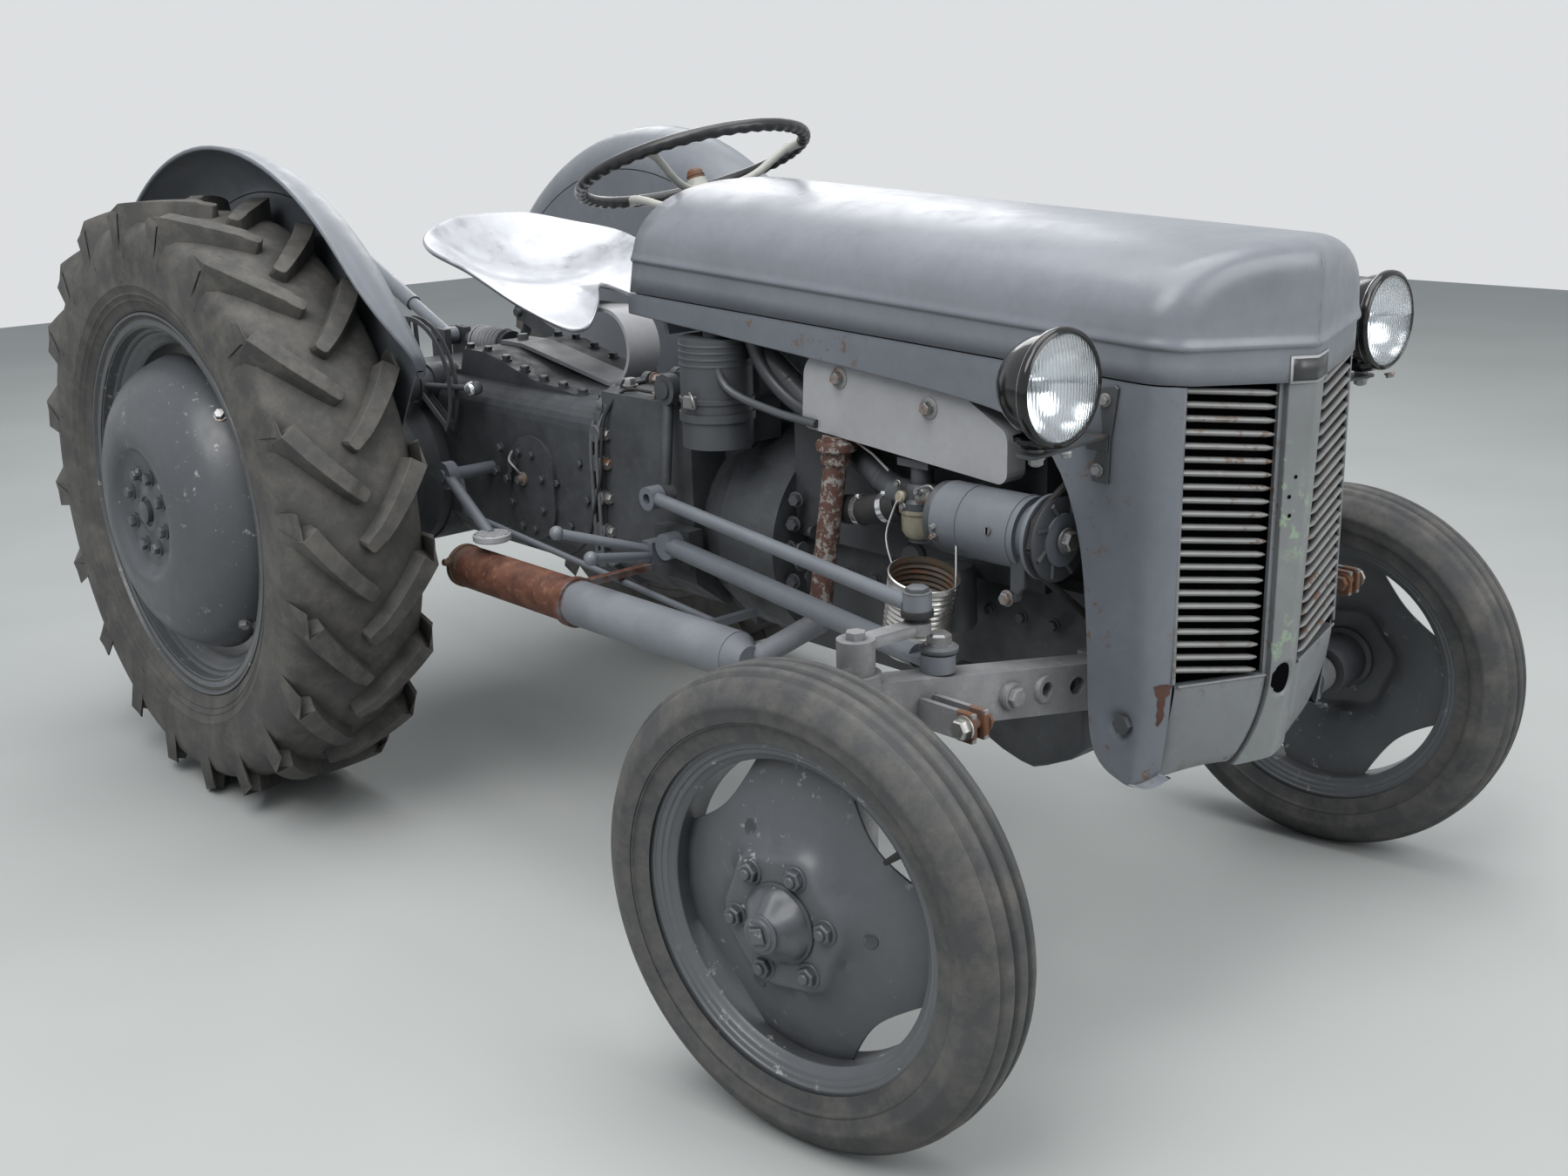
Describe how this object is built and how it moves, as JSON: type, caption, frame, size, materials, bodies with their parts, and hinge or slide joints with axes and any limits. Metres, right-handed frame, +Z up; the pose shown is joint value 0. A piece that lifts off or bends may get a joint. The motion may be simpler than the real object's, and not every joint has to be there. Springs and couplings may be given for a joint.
{
  "type": "vintage farm tractor",
  "caption": "Vintage open farm tractor with lugged rear tyres, ribbed front tyres, tip-up bonnet with barred grille, open engine, pan seat and rear three-point linkage.",
  "frame": {"origin": "middle of the overall box, on the ground under the tyres", "axes": "+X forward, +Y to the driver's left, +Z up"},
  "size_m": [2.931, 1.584, 1.3252],
  "materials": {
    "paint": "satin, aged",
    "dark_paint": "satin, dirty",
    "light_paint": "satin",
    "cast": "painted over, dirty",
    "bare": "bright",
    "rusty": "rusty",
    "black": "semi-gloss",
    "tyre": "weathered"
  },
  "bodies": {
    "root": {"engine": "cast", "rocker_cover": "paint", "gearbox_housing": "paint", "centre_housing": "cast", "axle_trumpets": "cast", "front_support": "cast", "front_axle": "cast", "radius_rods": "paint", "radiator": "cast", "fan": "paint", "dynamo": "paint", "air_cleaner": "dark_paint", "intake": "dark_paint", "manifold_cover": "light_paint", "exhaust": "rusty", "fuel_tank": "dark_paint", "dash": "paint", "steering_box": "cast", "seat_pan": "bare", "seat_spring": "bare", "fenders": "paint", "footrests": "paint", "pedals": "paint", "quadrant": "cast", "gear_lever": "paint", "pto_shaft": "bare"},
    "bonnet": {"bonnet_top": "paint", "bonnet_sides": "paint", "grille": "light_paint", "headlamps": "black"},
    "wheel_rear_left": {"rear_tyre_left": "tyre", "rear_wheel_left": "paint"},
    "wheel_rear_right": {"rear_tyre_right": "tyre", "rear_wheel_right": "paint"},
    "wheel_front_left": {"front_tyre_left": "tyre", "front_wheel_left": "paint"},
    "wheel_front_right": {"front_tyre_right": "tyre", "front_wheel_right": "paint"},
    "steer_left": {"knuckle_left": "cast"},
    "steer_right": {"knuckle_right": "cast"},
    "drop_left": {"drop_arm_left": "cast"},
    "drop_right": {"drop_arm_right": "cast"},
    "drag_left": {"drag_link_left": "paint"},
    "drag_right": {"drag_link_right": "paint"},
    "hand_wheel": {"steering_wheel": "black"},
    "lift": {"lift_arms": "cast"},
    "rod_left": {"lift_rod_left": "cast"},
    "rod_right": {"lift_rod_right": "cast"},
    "lower_left": {"lower_link_left": "cast"},
    "lower_right": {"lower_link_right": "cast"},
    "top": {"top_link": "paint"}
  },
  "joints": [
    {"name": "bonnet_tip", "type": "hinge", "parent": "root", "child": "bonnet", "pos_m": [1.30895, 0, 0.523], "axis": [0, 1, 0], "range_deg": [0, 75]},
    {"name": "rear_left_spin", "type": "hinge", "parent": "root", "child": "wheel_rear_left", "pos_m": [-0.66305, 0.61, 0.6], "axis": [0, 1, 0], "continuous": true},
    {"name": "rear_right_spin", "type": "hinge", "parent": "root", "child": "wheel_rear_right", "pos_m": [-0.66305, -0.61, 0.6], "axis": [0, 1, 0], "continuous": true},
    {"name": "steer", "type": "hinge", "parent": "root", "child": "steer_right", "pos_m": [1.11495, -0.56, 0.585], "axis": [0, 0, 1], "range_deg": [-42.92, 27.08]},
    {"name": "steer_follow", "type": "hinge", "parent": "root", "child": "steer_left", "pos_m": [1.11495, 0.56, 0.585], "axis": [0, 0, 1], "range_deg": [-42.92, 27.08]},
    {"name": "front_left_spin", "type": "hinge", "parent": "steer_left", "child": "wheel_front_left", "pos_m": [1.09952, 0.67093, 0.337], "axis": [-0.1378, 0.9905, 0], "continuous": true},
    {"name": "front_right_spin", "type": "hinge", "parent": "steer_right", "child": "wheel_front_right", "pos_m": [1.13039, -0.67093, 0.337], "axis": [-0.1378, 0.9905, 0], "continuous": true},
    {"name": "drop_left_swing", "type": "hinge", "parent": "root", "child": "drop_left", "pos_m": [0.29195, 0.204, 0.872], "axis": [0, 1, 0], "range_deg": [-14.89, 23.61]},
    {"name": "drag_left_swing", "type": "hinge", "parent": "drop_left", "child": "drag_left", "pos_m": [0.33071, 0.258, 0.69242], "axis": [0, 1, 0], "range_deg": [-23.61, 14.89]},
    {"name": "drop_right_swing", "type": "hinge", "parent": "root", "child": "drop_right", "pos_m": [0.29195, -0.204, 0.872], "axis": [0, 1, 0], "range_deg": [-23.61, 14.89]},
    {"name": "drag_right_swing", "type": "hinge", "parent": "drop_right", "child": "drag_right", "pos_m": [0.30306, -0.258, 0.68863], "axis": [0, 1, 0], "range_deg": [-14.89, 23.61]},
    {"name": "hand_wheel_turn", "type": "hinge", "parent": "root", "child": "hand_wheel", "pos_m": [0.13295, 0, 1.241], "axis": [-0.342, 0, 0.9397], "range_deg": [-482.85, 304.65]},
    {"name": "lift_turn", "type": "hinge", "parent": "root", "child": "lift", "pos_m": [-0.56305, 0, 0.79], "axis": [0, 1, 0], "range_deg": [-12, 50]},
    {"name": "rod_left_swing", "type": "hinge", "parent": "lift", "child": "rod_left", "pos_m": [-0.80737, 0.232, 0.87893], "axis": [0, 1, 0], "range_deg": [-37.75, 9.06]},
    {"name": "lower_left_swing", "type": "hinge", "parent": "root", "child": "lower_left", "pos_m": [-0.67305, 0.222, 0.395], "axis": [0, 1, 0], "range_deg": [-8.4, 35]},
    {"name": "rod_right_swing", "type": "hinge", "parent": "lift", "child": "rod_right", "pos_m": [-0.80737, -0.232, 0.87893], "axis": [0, 1, 0], "range_deg": [-37.75, 9.06]},
    {"name": "lower_right_swing", "type": "hinge", "parent": "root", "child": "lower_right", "pos_m": [-0.67305, -0.222, 0.395], "axis": [0, 1, 0], "range_deg": [-8.4, 35]},
    {"name": "top_swing", "type": "hinge", "parent": "root", "child": "top", "pos_m": [-0.75905, 0, 0.852], "axis": [0, 1, 0], "range_deg": [-45, 20]}
  ],
  "couplings": [
    {"joint": "steer_follow", "follows": "steer", "ratio": 1},
    {"joint": "hand_wheel_turn", "follows": "steer", "ratio": 11.25},
    {"joint": "drop_left_swing", "follows": "steer", "ratio": -0.55},
    {"joint": "drag_left_swing", "follows": "steer", "ratio": 0.55},
    {"joint": "rod_left_swing", "follows": "lift_turn", "ratio": -0.755},
    {"joint": "lower_left_swing", "follows": "lift_turn", "ratio": 0.7},
    {"joint": "drop_right_swing", "follows": "steer", "ratio": 0.55},
    {"joint": "drag_right_swing", "follows": "steer", "ratio": -0.55},
    {"joint": "rod_right_swing", "follows": "lift_turn", "ratio": -0.755},
    {"joint": "lower_right_swing", "follows": "lift_turn", "ratio": 0.7}
  ]
}
